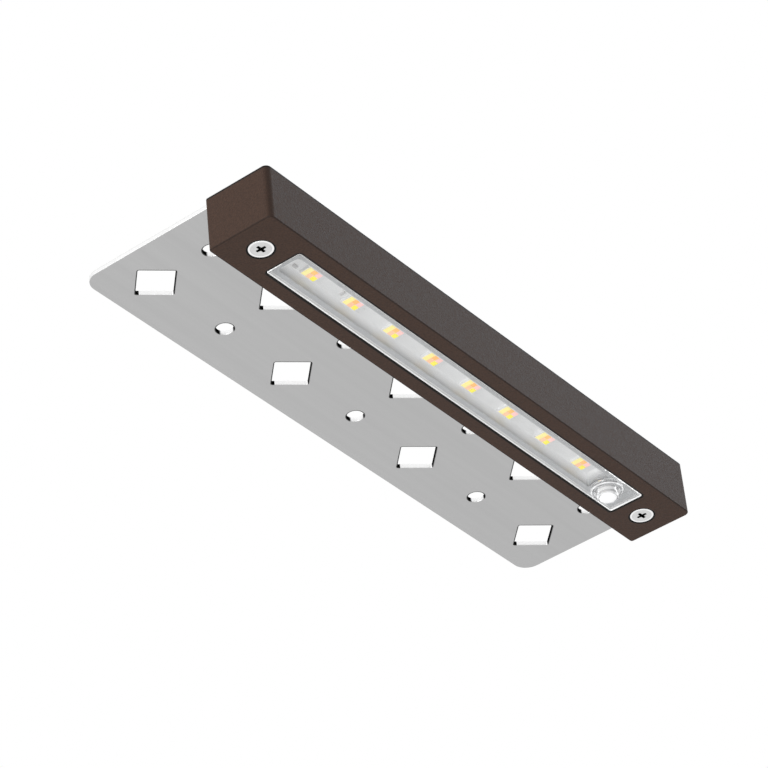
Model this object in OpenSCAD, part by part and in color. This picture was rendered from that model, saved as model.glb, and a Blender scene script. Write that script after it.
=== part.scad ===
// Step light: a slim bar lamp on a flat mounting plate.
// The plate's top face lies at z = 0, above the middle of the bar, and the lens looks down.
// X runs along the bar, and +Y points back, towards the wall that the plate goes into.

/* [Bar] */
// Length of the bar
bar_length = 178; // [160:1:240]
// Depth of the bar, from its front face to its back face
bar_depth = 19.5; // [18.8:0.1:24]
// Height of the bar
bar_height = 16; // [15:0.1:20]
// Radius of the upright corners at the front
front_corner_radius = 1.6; // [1:0.1:3.5]
// Radius of the upright corners at the back
back_corner_radius = 0.8; // [0.4:0.1:2]
// Width of the bevel along the bar's long edges and ends
edge_break = 0.3; // [0.1:0.05:0.5]
// Thickness of the shelf between the lamp channel and the driver compartment
shelf_thickness = 1.7; // [1.3:0.1:2.6]
// Thickness of the driver compartment's long walls
side_wall = 3; // [2.6:0.1:3.3]

/* [Lens] */
// Distance from the bar's end to the lens
lens_end_margin = 16.2; // [15:0.1:24]
// Width of the lens
lens_width = 10.7; // [10.2:0.1:12]
// Thickness of the lens
lens_thickness = 1.7; // [1.2:0.1:2.4]
// Radius of the lens's corners
lens_corner_radius = 0.8; // [0.5:0.1:1.5]
// Width of the bevel round the lens's outer face
lens_bevel = 0.3; // [0.1:0.05:0.4]
// Width of the sealant bead round the lens
lens_gap = 0.25; // [0.15:0.05:0.4]
// Depth of the sealant bead below the bar's face
seal_sink = 0.15; // [0.05:0.05:0.3]

/* [Reflector frame] */
// Width of the border that the lens lies on
frame_ledge = 2.1; // [1.4:0.1:2.5]
// Height of the frame, from the lens to the strip board
frame_height = 3; // [1.6:0.1:3.2]
// Outer radius of the frame's ring round the button
shroud_radius = 4.8; // [4.6:0.1:6.2]

/* [LED board] */
// Thickness of the strip board
led_board_thickness = 1; // [0.6:0.1:1.6]
// Clearance round the boards and the frame in the channel
board_gap = 0.15; // [0.05:0.05:0.3]
// Thickness of the thermal pad
pad_thickness = 0.4; // [0.3:0.1:1]
// Distance from one LED to the next
led_pitch = 16.2; // [12:0.05:25]
// Distance from the lens's end to the first LED
led_end_gap = 11.5; // [6:0.1:16]
// Length of an LED package, along the bar
package_length = 5.2; // [5:0.1:6]
// Width of an LED package
package_width = 3.5; // [3.3:0.1:4.2]
// Height of an LED package
package_height = 0.8; // [0.5:0.1:1.2]
// Thickness of a coloured phosphor tile
tile_height = 0.08; // [0.04:0.01:0.15]
// Side of a phosphor tile
tile_size = 1.45; // [1.2:0.05:1.5]
// Gap between two phosphor tiles
tile_gap = 0.15; // [0.05:0.05:0.25]

/* [Push button] */
// Distance from the lens's end to the button's axis
button_inset = 9.3; // [7.9:0.1:12]
// Radius of the white core's tip
core_radius = 2.4; // [1.8:0.1:2.5]
// Wall of the clear cap round the core's tip
cap_tip_wall = 0.5; // [0.4:0.1:0.7]
// Radius of the cap where it slides in its collar
cap_radius = 3.3; // [3.25:0.05:3.6]
// Running clearance between the cap and its collar
cap_clearance = 0.08; // [0.05:0.01:0.1]
// Wall of the clear collar
collar_wall = 0.97; // [0.8:0.01:1.1]
// Height of the collar below the bar's face
collar_stand = 0.6; // [0.4:0.1:1.5]
// Height of the core's tip below the bar's face
button_stand = 3; // [2.4:0.1:4]
// Height of the core's tip past its clear cap
core_proud = 0.3; // [0.2:0.1:0.6]
// How far the cap's flange reaches past its sliding radius
flange_reach = 0.35; // [0.25:0.05:0.4]
// Thickness of the cap's flange
flange_thickness = 0.6; // [0.4:0.1:0.8]
// Radius of the O-ring's section
ring_section = 0.3; // [0.25:0.01:0.34]
// Radius of the core's post
post_radius = 1.2; // [0.8:0.1:1.6]
// Travel of the button
button_travel = 0.5; // [0.3:0.05:0.6]

/* [Switch] */
// Side of the tact switch's square body
switch_size = 6; // [5.6:0.1:6.2]
// Height of the tact switch's body
switch_height = 3.5; // [3.4:0.1:4.2]
// Thickness of the switch's floor under the snap dome
switch_floor = 1.4; // [1:0.1:1.5]
// Thickness of the switch's steel cover
switch_cover_thickness = 0.3; // [0.2:0.05:0.4]
// Radius of the switch's stem
stem_radius = 1.75; // [1.3:0.05:1.9]
// Length of the stem past the switch's body
stem_length = 0.8; // [0.6:0.1:1.2]
// Thickness of the snap dome
dome_thickness = 0.1; // [0.08:0.01:0.15]

/* [Driver] */
// Thickness of the driver board
driver_thickness = 1.2; // [0.8:0.1:1.6]
// Clearance between the driver board and the compartment's walls
driver_gap = 0.4; // [0.3:0.1:0.8]
// Length of the bay that is left free for the cable inlet
inlet_bay = 19; // [15:0.5:24]
// Side of the power inductor
inductor_size = 6; // [5:0.1:7.5]
// Air between the tops of the driver's tall parts and the gasket's level
tall_part_air = 0.8; // [0.2:0.1:1.2]
// Radius of a capacitor
capacitor_radius = 2; // [1.5:0.1:2.6]
// Height of the driver chip
chip_height = 1.3; // [0.8:0.1:2]
// Air between the wire terminal's top and the gasket's level
terminal_air = 0.8; // [0.2:0.1:1.2]
// Pitch of the link pins
pin_pitch = 2; // [1.6:0.1:2.54]
// Number of link pins
pin_count = 5; // [3:1:7]
// Side of a link pin
pin_size = 0.5; // [0.4:0.05:0.7]

/* [Top cover] */
// Thickness of the cover over the driver compartment
cover_thickness = 1.2; // [0.8:0.1:1.5]
// Thickness of the gasket under the cover
gasket_thickness = 0.4; // [0.3:0.1:0.6]
// Width of the gasket along the compartment's long walls
gasket_lip = 1.3; // [0.9:0.1:1.5]
// Distance from the compartment's end to the cover's end
cover_end_lip = 6.6; // [6.2:0.1:9]
// Distance from the cover's end to its screws
cover_screw_inset = 2.8; // [2.5:0.1:3.2]
// Distance between the two screws at one end of the cover
cover_screw_spacing = 9.2; // [7:0.1:10.5]

/* [Mounting plate] */
// Thickness of the plate
plate_thickness = 1.2; // [0.8:0.1:2]
// Distance from the bar's left end in to the plate's left edge
plate_end_inset = 3.1; // [1:0.1:3.5]
// How far the plate runs past the bar's right end
plate_overhang = 11.5; // [0:0.1:13]
// Distance from the fixing screws' axes forward to the plate's front edge
plate_lead = 4.5; // [4:0.1:8.5]
// How far the plate reaches behind the bar
plate_reach = 42.8; // [40:0.1:70]
// Radius of the plate's corners
plate_corner_radius = 4.5; // [2:0.1:4.5]
// Side of a diamond-shaped hole
diamond_side = 9.6; // [7:0.1:11]
// Radius of a round hole for a nail or screw
nail_hole_radius = 2.35; // [1.5:0.05:3]
// Number of places for holes in a row, diamonds and round ones by turns
holes_per_row = 7; // [5:1:9]
// Distance from the plate's side edge to the first hole's centre
hole_side_margin = 13.2; // [10:0.1:16]
// Distance from the plate's back edge to the first row of holes
hole_back_margin = 12.8; // [10:0.1:14]
// Distance between the two rows of holes
row_spacing = 18.4; // [15.5:0.1:19]

/* [Fasteners] */
// Distance from the bar's end to a fixing screw's axis
screw_inset = 8.5; // [8.2:0.1:9]
// How far a fixing screw's axis lies behind the bar's middle
screw_setback = 0.4; // [0:0.1:1.5]
// Radius of a fixing screw's thread
screw_radius = 1.75; // [1.5:0.05:2]
// Length of a fixing screw past the bar's height
screw_past_bar = 0.5; // [0.2:0.1:0.7]
// Radius of a fixing screw's head
screw_head_radius = 3.2; // [3:0.1:3.6]
// Height of a fixing screw's head
screw_head_height = 1.9; // [1.6:0.1:2.4]
// How far a fixing screw's head lies below the bar's face
screw_sink = 0.1; // [0:0.05:0.3]
// Clearance round a fixing screw in the bar
screw_clearance = 0.3; // [0.15:0.05:0.4]
// Length of the screwdriver cross
cross_length = 2.8; // [2.4:0.1:3.6]
// Width of the screwdriver cross's arms
cross_width = 0.85; // [0.6:0.05:1.1]
// Depth of the screwdriver cross
cross_depth = 1.3; // [0.8:0.1:1.5]
// Radius of a clinch nut's body
nut_radius = 3.55; // [3.2:0.05:3.6]
// Height of a clinch nut's body
nut_height = 1.8; // [1.4:0.1:2.4]
// Radius of a clinch nut's shank in the plate
nut_shank_radius = 2.6; // [2.3:0.05:2.9]
// Clearance round and under a clinch nut's body
nut_clearance = 0.3; // [0.2:0.05:0.4]
// Radius of the small screws' thread
small_screw_radius = 1; // [0.8:0.05:1.1]
// Radius of the small screws' heads
small_head_radius = 1.8; // [1.5:0.05:1.9]
// Length of the small screws' threads
small_screw_length = 2.4; // [2:0.1:2.5]

/* [Cable inlet] */
// Wall left between the gland's thread and the compartment's floor or gasket
gland_margin = 0.5; // [0.35:0.05:0.9]
// Wall of the rubber seal
gland_seal_wall = 0.35; // [0.25:0.05:0.4]
// Wall of the gland's threaded tube
gland_wall = 0.45; // [0.35:0.05:0.5]
// How far the flats of the gland's flange stand out from its thread
gland_flange_reach = 0.4; // [0.2:0.05:0.7]
// Thickness of the gland's flange
gland_flange_thickness = 1.6; // [1:0.1:2]
// Length of the gland's round tail behind the flange
gland_tail = 2.8; // [1.5:0.1:3.2]
// Thickness of the lock nut
lock_nut_thickness = 1.8; // [1.2:0.1:2.2]
// Clearance between the lock nut's flats and the compartment's floor or gasket
lock_nut_air = 0.2; // [0.1:0.05:0.25]

/* [Hidden] */
$fn = 64;

// A cut runs this far past the face that it opens
past = 1;

// Levels above the lens face, from the lens up to the top cover
frame_level = lens_thickness;
led_level = frame_level + frame_height;
pad_level = led_level + led_board_thickness;
shelf_level = pad_level + pad_thickness;
shelf_top = shelf_level + shelf_thickness;
// The switch hangs from the driver board and just clears the strip board
switch_air = 0.2;
switch_side_air = 0.3;
driver_level = pad_level + switch_air + switch_height;
driver_top = driver_level + driver_thickness;
cover_level = bar_height - cover_thickness;
gasket_level = cover_level - gasket_thickness;
gland_level = (shelf_top + gasket_level) / 2;
component_room = gasket_level - driver_top;

// The lamp channel and what lies in it
lens_length = bar_length - 2 * lens_end_margin;
button_x = lens_length / 2 - button_inset;
channel_length = lens_length + 2 * lens_gap;
channel_width = lens_width + 2 * lens_gap;
channel_radius = lens_corner_radius + lens_gap;
inlay_length = channel_length - 2 * board_gap;
inlay_width = channel_width - 2 * board_gap;
inlay_radius = channel_radius - board_gap;
window_left = -lens_length / 2 + frame_ledge;
window_half_width = lens_width / 2 - frame_ledge;

// The LEDs stand at their pitch, as many as fit before the button's ring
first_led_x = -lens_length / 2 + led_end_gap;
led_shroud_air = 1;
last_led_limit = button_x - shroud_radius - package_length / 2 - led_shroud_air;
led_xs = [for (x = first_led_x; x <= last_led_limit; x = x + led_pitch) x];
tile_step = tile_size + tile_gap;

// The small chips on the strip board: how far before an LED, and how far behind the middle
board_chip_height = 0.5;
end_chip = [1.4, 0.9];
end_chip_lead = 4.8;
end_chip_back = 1.3;
led_chip = [0.7, 1.5];
led_chip_lead = 4.4;
led_chip_back = -0.2;

// The fixing screws and the clinch nuts that they go into
screw_x = bar_length / 2 - screw_inset;
pocket_radius = nut_radius + nut_clearance;
nut_level = bar_height - nut_height;

// The driver compartment, between the two clinch nuts
cover_end_wall = 1.1;
cover_half_length = screw_x - pocket_radius - cover_end_wall;
bay_half_length = cover_half_length - cover_end_lip;
bay_half_width = bar_depth / 2 - side_wall;
bay_radius = 1.5;
cover_half_width = bay_half_width + gasket_lip;
cover_fit = 0.1;
cover_screw_x = cover_half_length - cover_screw_inset;
tapped_depth = 0.4;

// The driver board, from the cable inlet's bay to the end past the switch
small_head_height = 1.2;
small_cross = [1.8, 0.5, 0.7];
hole_air = 0.15;
driver_left = -bay_half_length + inlet_bay;
driver_right = bay_half_length - driver_gap;
driver_half_width = bay_half_width - driver_gap;
driver_length = driver_right - driver_left;
boss_radius = 2.1;
boss_xs = [driver_left + 0.2 * driver_length, driver_left + 0.8 * driver_length];
pins_x = driver_left + 0.08 * driver_length;
pin_row_length = (pin_count - 1) * pin_pitch + pin_size;
pin_slot_margin = 0.8;
pin_tail = 0.8;

// The parts on the driver board, along the board and across it
inductor_height = component_room - tall_part_air;
capacitor_height = component_room - tall_part_air;
rectifier_height = component_room - tall_part_air;
terminal_height = component_room - terminal_air;
resistor_height = 0.6;
chip_plan = [5, 4];
rectifier_plan = [4.8, 6];
resistor_plan = [1.2, 2];
resistor_side = 2.2;
terminal_plan = [4.2, 8];
terminal_wire_side = 2;
terminal_hole_share = 0.29;

// The switch, measured down from the driver board
switch_room = switch_size + 2 * switch_side_air;
dome_spare = 0.2;
dome_height = button_travel + dome_spare;
dome_rim_radius = 2.1;
stem_flange_radius = 2.3;
switch_bore_radius = 2.5;
stem_flange_level = switch_floor + dome_height;
switch_cover_level = switch_height - switch_cover_thickness;
stem_tip_level = driver_level - switch_height - stem_length;
stem_clearance = 0.1;
board_hole_air = 0.35;
board_hole_radius = stem_radius + board_hole_air;

// The button, measured from the lens face
collar_bore_radius = cap_radius + cap_clearance;
collar_radius = collar_bore_radius + collar_wall;
collar_glue = 0.05;
flange_radius = cap_radius + flange_reach;
flange_air = 0.15;
frame_bore_radius = flange_radius + flange_air;
flange_top = frame_level + flange_thickness;
cap_tip_radius = core_radius + cap_tip_wall;
cap_tip_level = -button_stand + core_proud;
cap_step_level = -collar_stand - button_travel;
cap_step_height = 0.4;
tip_bevel = 0.3;
ring_bulge = 0.04;
ring_centre_radius = cap_radius - ring_section + ring_bulge;
ring_depth = 1;
ring_level = frame_level - ring_depth;
groove_air = 0.02;
groove_half_width = ring_section + groove_air;

// The plate, and its two rows of holes
plate_left = -bar_length / 2 + plate_end_inset;
plate_right = bar_length / 2 + plate_overhang;
plate_front = screw_setback - plate_lead;
plate_back = bar_depth / 2 + plate_reach;
hole_step = (plate_right - plate_left - 2 * hole_side_margin) / (holes_per_row - 1);
back_row_y = plate_back - hole_back_margin;
front_row_y = back_row_y - row_spacing;

// The cable inlet, through the back wall
gland_x = -bay_half_length + inlet_bay / 2;
half_bay_height = (gasket_level - shelf_top) / 2;
gland_thread_radius = half_bay_height - gland_margin;
gland_bore_radius = gland_thread_radius - gland_wall;
cable_radius = gland_bore_radius - gland_seal_wall;
gland_flange_flats = 2 * (gland_thread_radius + gland_flange_reach);
lock_nut_flats = 2 * (half_bay_height - lock_nut_air);
gland_thread_end = 0.4;
gland_inside = side_wall + lock_nut_thickness + gland_thread_end;
gland_tail_step = 0.15;
gland_tail_radius = gland_thread_radius + gland_tail_step;
gland_length = gland_inside + gland_flange_thickness + gland_tail;

bronze = [0.27, 0.21, 0.18];
steel = [0.72, 0.73, 0.74];
clear = [0.85, 0.88, 0.9, 0.45];
rubber = [0.06, 0.06, 0.06];
board_green = [0.1, 0.35, 0.2];
tin = [0.8, 0.8, 0.78];

// Carries a shape from the bar's own levels, with the lens face at 0, to its place under the plate
module in_bar() {
    translate([0, 0, -plate_thickness - bar_height]) children();
}

// Carries a shape that is measured down from the driver board to the switch's place
module in_switch() {
    in_bar() translate([button_x, 0, driver_level]) mirror([0, 0, 1]) children();
}

// An upright slab with its own corner radii at the front and at the back
module slab(x0, x1, y0, y1, front_r, back_r, height) {
    linear_extrude(height) {
        translate([x0 + front_r, y0]) square([x1 - x0 - 2 * front_r, y1 - y0 - back_r]);
        translate([x0, y0 + front_r]) square([x1 - x0, y1 - y0 - front_r - back_r]);
        translate([x0 + back_r, y0 + front_r]) square([x1 - x0 - 2 * back_r, y1 - y0 - front_r]);
        for (x = [x0 + front_r, x1 - front_r]) translate([x, y0 + front_r]) circle(front_r);
        for (x = [x0 + back_r, x1 - back_r]) translate([x, y1 - back_r]) circle(back_r);
    }
}

// A slab that is centred on the bar, with four equal corners
module centred_slab(length, width, radius, height) {
    slab(-length / 2, length / 2, -width / 2, width / 2, radius, radius, height);
}

// A prism along X whose section has its lower and upper corners cut off
module bevelled_prism(length, width, height, low, high) {
    translate([-length / 2, 0, 0]) rotate([90, 0, 90]) linear_extrude(length) polygon([
        [-width / 2 + low, 0], [width / 2 - low, 0],
        [width / 2, low], [width / 2, height - high],
        [width / 2 - high, height], [-width / 2 + high, height],
        [-width / 2, height - high], [-width / 2, low]
    ]);
}

// Keeps its children inside a block whose edges are bevelled all round
module bevel_edges(length, width, height, low, high) {
    intersection() {
        children();
        bevelled_prism(length, width, height, low, high);
        rotate([0, 0, 90]) bevelled_prism(width, length, height, low, high);
    }
}

module at_screws() {
    for (side = [-1, 1]) translate([side * screw_x, screw_setback, 0]) children();
}

module at_cover_screws() {
    for (side = [-1, 1]) for (edge = [-1, 1])
        translate([side * cover_screw_x, edge * cover_screw_spacing / 2, 0]) children();
}

module at_bosses() {
    for (x = boss_xs) translate([x, 0, 0]) children();
}

module bar_block() {
    bevel_edges(bar_length, bar_depth, bar_height, edge_break, edge_break)
        slab(-bar_length / 2, bar_length / 2, -bar_depth / 2, bar_depth / 2,
            front_corner_radius, back_corner_radius, bar_height);
}

module screw_passage() {
    head_room = screw_head_radius + screw_clearance;
    shank_room = screw_radius + screw_clearance;
    translate([0, 0, -past]) cylinder(r = shank_room, h = bar_height + 2 * past);
    translate([0, 0, -past]) cylinder(r = head_room, h = past + screw_sink);
    translate([0, 0, screw_sink])
        cylinder(r1 = head_room, r2 = shank_room, h = screw_head_height);
    translate([0, 0, nut_level - nut_clearance])
        cylinder(r = pocket_radius, h = nut_height + nut_clearance + past);
}

module pin_slot(height) {
    translate([pins_x - pin_size / 2 - pin_slot_margin, -pin_row_length / 2 - pin_slot_margin, 0])
        cube([pin_size + 2 * pin_slot_margin, pin_row_length + 2 * pin_slot_margin, height]);
}

module switch_hole(height) {
    translate([button_x - switch_room / 2, -switch_room / 2, 0])
        cube([switch_room, switch_room, height]);
}

module housing() {
    color(bronze) in_bar() difference() {
        union() {
            difference() {
                bar_block();
                translate([0, 0, shelf_top])
                    centred_slab(2 * bay_half_length, 2 * bay_half_width, bay_radius,
                        bar_height - shelf_top + past);
            }
            at_bosses() translate([0, 0, shelf_top - shelf_thickness / 2])
                cylinder(r = boss_radius, h = driver_level - shelf_top + shelf_thickness / 2);
        }
        translate([0, 0, -past])
            centred_slab(channel_length, channel_width, channel_radius, shelf_level + past);
        translate([0, 0, gasket_level])
            centred_slab(2 * cover_half_length, 2 * cover_half_width, bay_radius,
                bar_height - gasket_level + past);
        translate([0, 0, shelf_level - past]) switch_hole(shelf_thickness + 2 * past);
        translate([0, 0, shelf_level - past]) pin_slot(shelf_thickness + 2 * past);
        at_screws() screw_passage();
        at_cover_screws()
            translate([0, 0, cover_level - small_screw_length - tapped_depth])
                cylinder(r = small_screw_radius, h = small_screw_length + past);
        at_bosses() translate([0, 0, driver_top - small_screw_length - tapped_depth])
            cylinder(r = small_screw_radius, h = small_screw_length + past);
        translate([gland_x, 0, gland_level]) rotate([-90, 0, 0])
            cylinder(r = gland_thread_radius, h = bar_depth);
    }
}

module diamond_hole() {
    rotate([0, 0, 45]) translate([-diamond_side / 2, -diamond_side / 2, -past])
        cube([diamond_side, diamond_side, plate_thickness + 2 * past]);
}

module nail_hole() {
    translate([0, 0, -past]) cylinder(r = nail_hole_radius, h = plate_thickness + 2 * past);
}

// The back row starts with a diamond, and the front row with a round hole
module hole_rows() {
    for (i = [0 : holes_per_row - 1]) translate([plate_left + hole_side_margin + i * hole_step, 0, 0]) {
        translate([0, back_row_y, 0]) if (i % 2 == 0) diamond_hole(); else nail_hole();
        translate([0, front_row_y, 0]) if (i % 2 == 0) nail_hole(); else diamond_hole();
    }
}

module mounting_plate() {
    color(steel) translate([0, 0, -plate_thickness]) difference() {
        slab(plate_left, plate_right, plate_front, plate_back,
            plate_corner_radius, plate_corner_radius, plate_thickness);
        hole_rows();
        at_screws() translate([0, 0, -past])
            cylinder(r = nut_shank_radius, h = plate_thickness + 2 * past);
    }
}

module clinch_nuts() {
    color(tin) in_bar() at_screws() translate([0, 0, nut_level]) difference() {
        union() {
            cylinder(r = nut_radius, h = nut_height);
            cylinder(r = nut_shank_radius, h = nut_height + plate_thickness);
        }
        translate([0, 0, -past])
            cylinder(r = screw_radius, h = nut_height + plate_thickness + 2 * past);
    }
}

module cross_recess(length, width, depth) {
    for (turn = [0, 90]) rotate([0, 0, turn])
        translate([-length / 2, -width / 2, -past]) cube([length, width, depth + past]);
}

// The cross in a small screw's head, sunk down from the head's top
module small_recess() {
    mirror([0, 0, 1]) cross_recess(small_cross[0], small_cross[1], small_cross[2]);
}

module fixing_screws() {
    color(steel) in_bar() at_screws() translate([0, 0, screw_sink]) difference() {
        union() {
            cylinder(r1 = screw_head_radius, r2 = screw_radius, h = screw_head_height);
            cylinder(r = screw_radius, h = bar_height + screw_past_bar - screw_sink);
        }
        cross_recess(cross_length, cross_width, cross_depth);
    }
}

module lens() {
    color(clear) in_bar() difference() {
        bevel_edges(lens_length, lens_width, lens_thickness, lens_bevel, 0)
            centred_slab(lens_length, lens_width, lens_corner_radius, lens_thickness);
        translate([button_x, 0, -past])
            cylinder(r = collar_radius + collar_glue, h = lens_thickness + 2 * past);
    }
}

module lens_seal() {
    color(rubber) in_bar() translate([0, 0, seal_sink]) difference() {
        centred_slab(channel_length, channel_width, channel_radius, lens_thickness - seal_sink);
        translate([0, 0, -past])
            centred_slab(lens_length, lens_width, lens_corner_radius, lens_thickness + 2 * past);
    }
}

module reflector_frame() {
    color([0.8, 0.8, 0.8]) in_bar() translate([0, 0, frame_level]) difference() {
        centred_slab(inlay_length, inlay_width, inlay_radius, frame_height);
        difference() {
            translate([window_left, -window_half_width, -past])
                cube([button_x - window_left, 2 * window_half_width, frame_height + 2 * past]);
            translate([button_x, 0, -2 * past])
                cylinder(r = shroud_radius, h = frame_height + 4 * past);
        }
        translate([button_x, 0, -past])
            cylinder(r = frame_bore_radius, h = frame_height + 2 * past);
    }
}

module led_board() {
    color([0.9, 0.9, 0.9]) in_bar() translate([0, 0, led_level]) difference() {
        centred_slab(inlay_length, inlay_width, inlay_radius, led_board_thickness);
        translate([button_x, 0, -past])
            cylinder(r = board_hole_radius, h = led_board_thickness + 2 * past);
        for (i = [0 : pin_count - 1]) at_pin(i) translate([-pin_size / 2, -pin_size / 2, -past])
            cube([pin_size, pin_size, led_board_thickness + 2 * past]);
    }
}

module thermal_pad() {
    color([0.55, 0.6, 0.65]) in_bar() translate([0, 0, pad_level]) difference() {
        centred_slab(inlay_length, inlay_width, inlay_radius, pad_thickness);
        translate([0, 0, -past]) switch_hole(pad_thickness + 2 * past);
        translate([0, 0, -past]) pin_slot(pad_thickness + 2 * past);
    }
}

module led_packages() {
    color([0.92, 0.92, 0.9]) in_bar() for (x = led_xs)
        translate([x - package_length / 2, -package_width / 2, led_level - package_height])
            cube([package_length, package_width, package_height]);
}

// One phosphor tile on each LED; column runs along the bar and row from front (-1) to back (1)
module tiles(column, row, length, width) {
    in_bar() for (x = led_xs)
        translate([x + column * tile_step, row * tile_step / 2, led_level - package_height - tile_height])
            translate([-length / 2, -width / 2, 0]) cube([length, width, tile_height]);
}

module tiles_pale_yellow() {
    color([1, 0.93, 0.5]) tiles(-1, 0, tile_size, tile_size + tile_step);
}

module tiles_orange() {
    color([1, 0.75, 0.35]) tiles(0, -1, tile_size, tile_size);
}

module tiles_peach() {
    color([1, 0.8, 0.6]) tiles(0, 1, tile_size, tile_size);
}

module tiles_pink() {
    color([1, 0.75, 0.72]) tiles(1, -1, tile_size, tile_size);
}

module tiles_bright_yellow() {
    color([1, 0.95, 0.2]) tiles(1, 1, tile_size, tile_size);
}

// A small chip on the strip board's lamp side
module board_chip(x, y, size) {
    translate([x - size[0] / 2, y - size[1] / 2, led_level - board_chip_height])
        cube([size[0], size[1], board_chip_height]);
}

module led_board_chips() {
    color([0.45, 0.44, 0.42]) in_bar() {
        board_chip(first_led_x - end_chip_lead, end_chip_back, end_chip);
        board_chip(first_led_x + led_pitch - led_chip_lead, led_chip_back, led_chip);
    }
}

module driver_board() {
    color(board_green) in_bar() difference() {
        translate([driver_left, -driver_half_width, driver_level])
            cube([driver_length, 2 * driver_half_width, driver_thickness]);
        at_bosses() translate([0, 0, driver_level - past])
            cylinder(r = small_screw_radius + hole_air, h = driver_thickness + 2 * past);
        for (i = [0 : pin_count - 1]) at_pin(i)
            translate([-pin_size / 2, -pin_size / 2, driver_level - past])
                cube([pin_size, pin_size, driver_thickness + 2 * past]);
    }
}

// A block on top of the driver board, placed by its share of the board's length
module on_driver(share, y, plan, height) {
    translate([driver_left + share * driver_length - plan[0] / 2, y - plan[1] / 2, driver_top])
        cube([plan[0], plan[1], height]);
}

module driver_chip() {
    color([0.12, 0.12, 0.13]) in_bar() on_driver(0.47, 0, chip_plan, chip_height);
}

module power_inductor() {
    color([0.25, 0.25, 0.27]) in_bar()
        on_driver(0.59, 0, [inductor_size, inductor_size], inductor_height);
}

module capacitors() {
    color([0.75, 0.76, 0.78]) in_bar() for (share = [0.28, 0.35])
        translate([driver_left + share * driver_length, 0, driver_top])
            cylinder(r = capacitor_radius, h = capacitor_height);
}

module rectifier() {
    color([0.1, 0.1, 0.1]) in_bar() on_driver(0.135, 0, rectifier_plan, rectifier_height);
}

module driver_resistors() {
    color([0.15, 0.14, 0.13]) in_bar() for (share = [0.68, 0.71, 0.74]) for (side = [-1, 1])
        on_driver(share, side * resistor_side, resistor_plan, resistor_height);
}

module input_terminal() {
    hole_radius = terminal_hole_share * terminal_height;
    color([0.2, 0.45, 0.35]) in_bar() difference() {
        translate([driver_left, -terminal_plan[1] / 2, driver_top])
            cube([terminal_plan[0], terminal_plan[1], terminal_height]);
        for (side = [-1, 1])
            translate([driver_left - past, side * terminal_wire_side, driver_top + terminal_height / 2])
                rotate([0, 90, 0]) cylinder(r = hole_radius, h = terminal_plan[0] / 2 + past);
    }
}

module at_pin(i) {
    translate([pins_x, (i - (pin_count - 1) / 2) * pin_pitch, 0]) children();
}

module link_pins() {
    color([0.8, 0.7, 0.4]) in_bar() for (i = [0 : pin_count - 1]) at_pin(i)
        translate([-pin_size / 2, -pin_size / 2, led_level])
            cube([pin_size, pin_size, driver_top + pin_tail - led_level]);
}

module driver_screws() {
    color(tin) in_bar() at_bosses() difference() {
        union() {
            translate([0, 0, driver_top]) cylinder(r = small_head_radius, h = small_head_height);
            translate([0, 0, driver_top - small_screw_length])
                cylinder(r = small_screw_radius, h = small_screw_length);
        }
        translate([0, 0, driver_top + small_head_height]) small_recess();
    }
}

module top_cover() {
    color(steel) in_bar() translate([0, 0, cover_level]) difference() {
        centred_slab(2 * (cover_half_length - cover_fit), 2 * (cover_half_width - cover_fit),
            bay_radius, cover_thickness);
        at_cover_screws() {
            translate([0, 0, -past])
                cylinder(r = small_screw_radius + cover_fit, h = cover_thickness + 2 * past);
            cylinder(r1 = small_screw_radius + cover_fit, r2 = small_head_radius + cover_fit,
                h = cover_thickness);
        }
    }
}

module cover_gasket() {
    color(rubber) in_bar() translate([0, 0, gasket_level]) difference() {
        centred_slab(2 * (cover_half_length - cover_fit), 2 * (cover_half_width - cover_fit),
            bay_radius, gasket_thickness);
        translate([0, 0, -past])
            centred_slab(2 * bay_half_length, 2 * bay_half_width, bay_radius,
                gasket_thickness + 2 * past);
        at_cover_screws() translate([0, 0, -past])
            cylinder(r = small_screw_radius, h = gasket_thickness + 2 * past);
    }
}

module cover_screws() {
    color(tin) in_bar() at_cover_screws() translate([0, 0, cover_level]) difference() {
        union() {
            cylinder(r1 = small_screw_radius, r2 = small_head_radius, h = cover_thickness);
            translate([0, 0, -small_screw_length])
                cylinder(r = small_screw_radius, h = small_screw_length + cover_thickness);
        }
        translate([0, 0, cover_thickness]) small_recess();
    }
}

// Carries a shape with its axis along Z to the cable inlet, with +Z pointing out of the back wall
module at_inlet() {
    in_bar() translate([gland_x, bar_depth / 2, gland_level]) rotate([-90, 0, 0]) children();
}

// A six-sided block with flats above and below
module six_sided(flats, height) {
    cylinder(r = flats / 2 / cos(30), h = height, $fn = 6);
}

module gland_body() {
    color([0.1, 0.1, 0.1]) at_inlet() difference() {
        union() {
            translate([0, 0, -gland_inside]) cylinder(r = gland_thread_radius, h = gland_inside);
            six_sided(gland_flange_flats, gland_flange_thickness);
            translate([0, 0, gland_flange_thickness])
                cylinder(r = gland_tail_radius, h = gland_tail);
        }
        translate([0, 0, -gland_inside - past])
            cylinder(r = gland_bore_radius, h = gland_length + 2 * past);
    }
}

module gland_seal() {
    color([0.2, 0.2, 0.2]) at_inlet() difference() {
        translate([0, 0, -gland_inside])
            cylinder(r = gland_bore_radius, h = gland_length);
        translate([0, 0, -gland_inside - past])
            cylinder(r = cable_radius, h = gland_length + 2 * past);
    }
}

module gland_nut() {
    color([0.15, 0.15, 0.15]) at_inlet() translate([0, 0, -side_wall - lock_nut_thickness]) difference() {
        six_sided(lock_nut_flats, lock_nut_thickness);
        translate([0, 0, -past]) cylinder(r = gland_thread_radius, h = lock_nut_thickness + 2 * past);
    }
}

module switch_base() {
    color([0.12, 0.12, 0.12]) in_switch() difference() {
        translate([-switch_size / 2, -switch_size / 2, 0])
            cube([switch_size, switch_size, switch_cover_level]);
        translate([0, 0, switch_floor]) cylinder(r = switch_bore_radius, h = switch_height);
    }
}

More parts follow.
